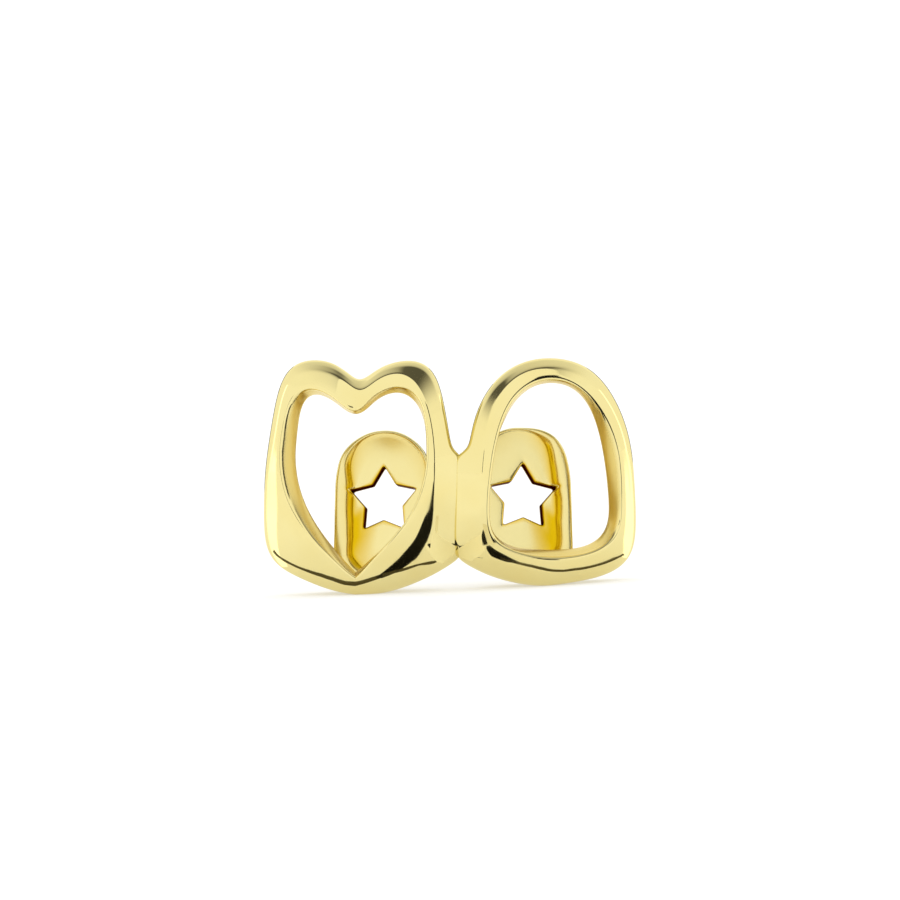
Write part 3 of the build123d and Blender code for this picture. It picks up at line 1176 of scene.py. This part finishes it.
@dataclass
class ToothCover:
    """The whole cover: both caps and both plates, cast as one."""

    name: str = "cast_cover"
    node: str = "tooth_cover"
    slot: str = "polished_gold"
    caps: Sequence[OpenCap] = (HEART_CAP, ARCH_CAP)
    plates: Sequence[StarPlate] = (HEART_PLATE, ARCH_PLATE)
    finish: PolishedGold = field(default_factory=PolishedGold)
    standing: Standing = field(default_factory=Standing)
    sharpest_smooth_angle: float = 40.0

    def build(self) -> Piece:
        """Build the finished cover, stood on its biting edges and dressed.

        Returns:
            Its piece.
        """
        cover = self.join([part.build() for part in (*self.caps, *self.plates)])
        cover.data.transform(self.standing.matrix())
        for vertex in cover.data.vertices:
            vertex.co.z = max(vertex.co.z, 0.0)
        bpy.ops.object.shade_smooth_by_angle(angle=math.radians(self.sharpest_smooth_angle))
        cover.data.materials.clear()
        cover.data.materials.append(self.finish.build())
        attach(cover, "root")
        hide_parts(self.node)
        LOG.info("%s: %d faces in all", cover.name, len(cover.data.polygons))
        return cover

    def join(self, parts: Sequence[Piece]) -> Piece:
        """Make one piece of the parts, named and active.

        Args:
            parts: The caps and the plates.

        Returns:
            The joined piece.
        """
        deselect()
        for part in parts:
            part.select_set(True)
        cover = parts[0]
        bpy.context.view_layer.objects.active = cover
        bpy.ops.object.join()
        cover.name = self.name
        cover.data.name = self.name
        return cover


@dataclass(frozen=True)
class SoftBox:
    """One flat soft light."""

    name: str
    place: tuple[float, float, float]
    aim: tuple[float, float, float]
    size: tuple[float, float]
    radiance: float

    def build(self) -> Piece:
        """Build the light; its power follows from its size, so that its face has the radiance asked for.

        Returns:
            The light.
        """
        data = bpy.data.lights.new(self.name, "AREA")
        data.shape = "RECTANGLE"
        data.size, data.size_y = self.size
        data.energy = self.radiance * math.pi * self.size[0] * self.size[1]
        light = bpy.data.objects.new(self.name, data)
        bpy.context.scene.collection.objects.link(light)
        light.location = self.place
        light.rotation_euler = (Vector(self.aim) - Vector(self.place)).to_track_quat("-Z", "Y").to_euler()
        light.visible_camera = False
        return light


def shown_by_metal_only(card: Piece, paint: Paint) -> Piece:
    """Paint a card and hide it from all but the metal that mirrors it; it throws no shadow.

    Args:
        card: The card's sheet.
        paint: Its material.

    Returns:
        The card.
    """
    card.data.materials.append(paint)
    card.visible_camera = False
    card.visible_diffuse = False
    card.visible_shadow = False
    return card


@dataclass(frozen=True)
class Card:
    """A curved card that only the polished metal mirrors.

    It is laid out by the metal that shows it: metal turned aside and tipped up by angles within
    the card's two ranges mirrors it towards the camera.
    """

    name: str
    turned: tuple[float, float]
    tipped: tuple[float, float]
    distance: float = 0.3
    raised: float = 0.005
    lowest: float = 0.0002
    grid: tuple[int, int] = (24, 8)

    def angles(self, across: float, up: float) -> tuple[float, float]:
        """Find the metal that shows one place of the card.

        Args:
            across: The place's share across, from 0 to 1.
            up: Its share upwards.

        Returns:
            How far that metal is turned aside and tipped up.
        """
        first = self.turned[0] + across * (self.turned[1] - self.turned[0])
        second = self.tipped[0] + up * (self.tipped[1] - self.tipped[0])
        return math.radians(first), math.radians(second)

    def facing(self, across: float, up: float) -> Vector:
        """Return the facing of the metal that shows one place of the card."""
        turn, tip = self.angles(across, up)
        return Vector((math.sin(turn) * math.cos(tip), -math.cos(turn) * math.cos(tip), math.sin(tip)))

    def build(self, paint: Paint) -> Piece:
        """Model the card as a patch of a globe round the object.

        Args:
            paint: The card's paint.

        Returns:
            The card.
        """
        deselect()
        columns, rows = self.grid
        bpy.ops.mesh.primitive_grid_add(x_subdivisions=columns, y_subdivisions=rows, size=1.0)
        card = bpy.context.object
        card.name = self.name
        camera = Vector((0.0, -1.0, 0.0))
        for vertex in card.data.vertices:
            facing = self.facing(vertex.co.x + 0.5, vertex.co.y + 0.5)
            vertex.co = self.distance * (2 * facing.dot(camera) * facing - camera)
            vertex.co.z = max(self.lowest, vertex.co.z + self.raised)
        return shown_by_metal_only(card, paint)


@dataclass(frozen=True)
class ArchedCard(Card):
    """A curved card for metal that leans away from the camera.

    Its turned range is the way the metal leans, 90 being up, and its tipped range by how much.
    """

    def facing(self, across: float, up: float) -> Vector:
        """Return the facing of the metal that shows one place of the card."""
        way, lean = self.angles(across, up)
        return Vector((math.sin(lean) * math.cos(way), -math.cos(lean), math.sin(lean) * math.sin(way)))


@dataclass(frozen=True)
class CutCard:
    """A card cut to shape in millimetres, that only the polished metal mirrors."""

    name: str

    def rows(self) -> list[list[Vector]]:
        """Return the card's places in millimetres, two to a row."""
        raise NotImplementedError

    def build(self, paint: Paint) -> Piece:
        """Model the card as one edge that is extruded from row to row.

        Args:
            paint: The card's paint.

        Returns:
            The card.
        """
        card = rows_of_faces(self.name, [[MILLIMETRE * place for place in row] for row in self.rows()])
        return shown_by_metal_only(card, paint)


@dataclass(frozen=True)
class FloorCard(CutCard):
    """A card that lies on the table."""

    left: Sequence[Point]
    right: Sequence[Point]
    height: float = 0.2

    def rows(self) -> list[list[Vector]]:
        """Return the places of the card's two long sides, row by row."""
        return [[Vector((*place, self.height)) for place in row] for row in zip(self.left, self.right)]


@dataclass(frozen=True)
class FenceCard(CutCard):
    """A card that stands upright on the table."""

    start: Point
    end: Point
    low: float
    high: float

    def rows(self) -> list[list[Vector]]:
        """Return the places of the card's two upright edges."""
        heights = (self.low, self.high)
        return [[Vector((*place, height)) for height in heights] for place in (self.start, self.end)]


@dataclass
class Studio:
    """The white table in its white tent, the black cards, and the camera."""

    table_paint: StudioPaint = StudioPaint("white_table", grey(0.64), glow=0.41)
    black_paint: StudioPaint = StudioPaint("black_card", grey(0.004))
    grey_paint: StudioPaint = StudioPaint("grey_card", (0.10, 0.09, 0.06))
    fence_paint: StudioPaint = StudioPaint("fence_card", grey(0.6), glow=0.5)
    high_paint: GradedPaint = GradedPaint(
        "high_card", ((0.0, 0.10), (0.22, 0.12), (0.35, 0.45), (0.6, 0.72), (1.0, 1.0))
    )
    glow_paint: StudioPaint = StudioPaint("glow_card", grey(0.6), glow=1.1)
    pale_paint: FadedPaint = FadedPaint("pale_card", (0.5, 0.64), (0.52, 0.41), (0.009, 0.019))
    tent: float = 1.13
    lights: Sequence[SoftBox] = (
        SoftBox("left_strip", (-0.45, 0.0, 0.15), (0.0, 0.0, 0.006), (0.045, 0.5), 0.9),
        SoftBox("right_strip", (0.45, 0.0, 0.15), (0.0, 0.0, 0.006), (0.045, 0.5), 0.9),
    )
    black_cards: Sequence[Card | CutCard] = (
        FloorCard(
            "slant_card",
            (
                (-3.95, -2.75), (-3.4, -3.3), (-2.93, -3.75), (-2.51, -4.21), (-2.1, -4.8), (-1.6, -5.5),
                (-0.95, -6.3), (-0.1, -7.25), (0.9, -8.15), (1.75, -8.9), (2.3, -9.6), (2.72, -10.4),
                (3.1, -11.8), (3.6, -13.4), (4.4, -15.7), (9.0, -25.0), (14.5, -29.5), (130.0, -262.0),
            ),
            (
                (-3.5, -2.55), (-2.55, -3.05), (-1.85, -3.35), (-1.16, -3.7), (-0.55, -4.2),
                (0.25, -4.8), (1.15, -5.5), (1.75, -6.15), (2.25, -6.85), (2.75, -7.6), (3.25, -8.4),
                (3.9, -9.35), (4.5, -10.6), (5.3, -12.1), (7.2, -13.9), (14.5, -21.5), (20.0, -26.6),
                (197.0, -226.0),
            ),
        ),
        FloorCard(
            "patch_card",
            (
                (0.72, -4.95), (0.8, -4.5), (1.05, -4.1), (1.4, -3.6), (2.0, -3.5), (2.6, -3.35),
            ),
            (
                (1.05, -5.1), (1.4, -4.8), (1.8, -4.5), (2.3, -4.2), (2.85, -3.85), (3.45, -3.5),
            ),
        ),
        Card("left_card", (-21.5, -17.7), (-7.0, 5.0)),
        Card("right_card", (14.5, 20.5), (-7.0, 14.0)),
        Card("left_rear_card", (-82.0, -65.0), (-30.0, 45.0)),
        Card("right_rear_card", (65.0, 82.0), (-30.0, 45.0)),
    )
    # painted shade: grey strips along the feet stand in for the shaded floor there, mirrored in the edge
    # bands as thin dark lines
    grey_cards: Sequence[Card | CutCard] = (
        FloorCard(
            "heart_foot_card",
            (
                (-14.9, 0.75), (-12.0, -0.54), (-10.22, -1.23), (-8.91, -1.76), (-7.74, -2.1),
                (-6.67, -2.23), (-5.73, -2.24), (-4.9, -2.44), (-4.26, -2.76), (-3.55, -3.06),
                (-2.77, -3.22), (-1.91, -3.17), (-1.02, -3.07), (-0.07, -3.0), (0.9, -2.95),
            ),
            (
                (-14.15, 0.95), (-10.97, 0.02), (-9.4, -0.6), (-8.3, -1.1), (-7.39, -1.67),
                (-6.43, -1.86), (-5.48, -1.74), (-4.71, -1.95), (-4.11, -2.29), (-3.48, -2.67),
                (-2.74, -2.92), (-1.92, -2.77), (-1.09, -2.72), (-0.28, -2.79), (0.6, -2.8),
            ),
        ),
        FloorCard(
            "arch_foot_card",
            (
                (2.2, -3.76), (2.96, -3.62), (3.63, -3.48), (4.27, -3.3), (4.9, -3.0), (5.5, -2.6),
                (6.06, -2.3), (6.72, -2.1), (7.35, -1.8), (8.05, -1.48), (8.9, -1.1), (9.9, -0.65),
                (10.93, 0.1),
            ),
            (
                (2.2, -3.5), (2.93, -3.39), (3.57, -3.22), (4.17, -3.04), (4.71, -2.7), (5.2, -2.2),
                (5.75, -1.9), (6.4, -1.75), (7.0, -1.4), (7.65, -1.1), (8.4, -0.72), (9.35, -0.3),
                (10.5, 0.35),
            ),
        ),
    )
    fence_cards: Sequence[FenceCard] = (
        FenceCard("groove_fence", (0.38, -1.8), (0.38, -4.0), 0.2, 2.1),
        FenceCard("foot_fence", (0.38, -4.0), (0.38, -4.7), 0.2, 0.65),
        FenceCard("arch_fence", (1.12, -4.4), (1.85, -4.4), 0.9, 2.5),
    )
    high_cards: Sequence[ArchedCard] = (ArchedCard("high_card", (24.0, 156.0), (26.5, 52.0)),)
    glow_cards: Sequence[FloorCard] = (
        FloorCard("left_glow_card", ((-10.2, 0.0), (-450.0, -22.0)), ((-10.2, 1.0), (-450.0, 22.0)), 0.15),
        FloorCard("right_glow_card", ((10.2, 0.0), (450.0, -22.0)), ((10.2, 1.0), (450.0, 22.0)), 0.15),
    )
    pale_cards: Sequence[Card | CutCard] = (
        FloorCard("pale_card", ((-20.0, -20.0), (-20.0, 20.0)), ((20.0, -20.0), (20.0, 20.0)), 0.1),
    )
    view_distance: float = 0.25
    view_height: float = 2.0
    view_roll: float = -2.6324
    focal: float = 202.5
    target: tuple[float, float, float] = (0.00018, -0.0015, 0.00695)
    table_size: float = 3.0
    table_shift: float = -0.5
    bend_radius: float = 0.35
    bend_steps: int = 10
    wall_height: float = 1.6

    def backdrop(self) -> Piece:
        """Build the seamless white table: a plane whose far edge is extruded up in a bend.

        Returns:
            The table.
        """
        deselect()
        bpy.ops.mesh.primitive_plane_add(size=self.table_size, location=(0.0, self.table_shift, 0.0))
        table = bpy.context.object
        table.name = "white_table"
        bpy.ops.object.transform_apply(location=True, rotation=True, scale=True)
        bpy.ops.object.mode_set(mode="EDIT")
        bpy.ops.mesh.select_all(action="DESELECT")
        mesh = bmesh.from_edit_mesh(table.data)
        far = max(vertex.co.y for vertex in mesh.verts)
        for vertex in mesh.verts:
            vertex.select = vertex.co.y > far - MILLIMETRE
        mesh.select_flush(True)
        bmesh.update_edit_mesh(table.data)
        bend = [math.radians(90 * step / self.bend_steps) for step in range(self.bend_steps + 1)]
        places = [self.bend_radius * Vector((0.0, math.sin(angle), -math.cos(angle))) for angle in bend]
        moves = [end - start for start, end in zip(places, places[1:])]
        for move in (*moves, (0.0, 0.0, self.wall_height)):
            bpy.ops.mesh.extrude_region_move(TRANSFORM_OT_translate={"value": move})
        bpy.ops.object.mode_set(mode="OBJECT")
        bpy.ops.object.shade_smooth()
        table.data.materials.append(self.table_paint.build())
        return table

    def camera(self) -> Piece:
        """Set the camera up, level with the cover as in the photograph.

        Returns:
            The camera.
        """
        data = bpy.data.cameras.new("camera")
        data.lens = self.focal
        data.sensor_width = 36.0
        data.clip_start = 0.01
        camera = bpy.data.objects.new("camera", data)
        bpy.context.scene.collection.objects.link(camera)
        rise = math.radians(self.view_height)
        target = Vector(self.target)
        place = target + self.view_distance * Vector((0.0, -math.cos(rise), math.sin(rise)))
        look = (target - place).to_track_quat("-Z", "Y").to_matrix().to_4x4()
        spin = Matrix.Rotation(math.radians(self.view_roll), 4, "Z")
        camera.matrix_world = Matrix.Translation(place) @ look @ spin
        bpy.context.scene.camera = camera
        return camera

    def world(self) -> None:
        """Fill the room with the tent's even light."""
        world = bpy.data.worlds.new("room")
        world.use_nodes = True
        background = world.node_tree.nodes["Background"]
        background.inputs["Color"].default_value = (*WHITE, 1.0)
        background.inputs["Strength"].default_value = self.tent
        bpy.context.scene.world = world

    def build(self) -> None:
        """Set the whole studio up."""
        self.backdrop()
        for paint, cards in (
            (self.black_paint, self.black_cards),
            (self.grey_paint, self.grey_cards),
            (self.fence_paint, self.fence_cards),
            (self.glow_paint, self.glow_cards),
            (self.high_paint, self.high_cards),
            (self.pale_paint, self.pale_cards),
        ):
            material = paint.build()
            for card in cards:
                card.build(material)
        self.world()
        for light in self.lights:
            light.build()
        self.camera()
        bpy.context.scene.view_settings.view_transform = "Standard"


def main() -> None:
    """Build the cover and the studio."""
    logging.basicConfig(level=logging.INFO, format="%(name)s %(message)s")
    ToothCover().build()
    Studio().build()


if __name__ == "__main__":
    main()
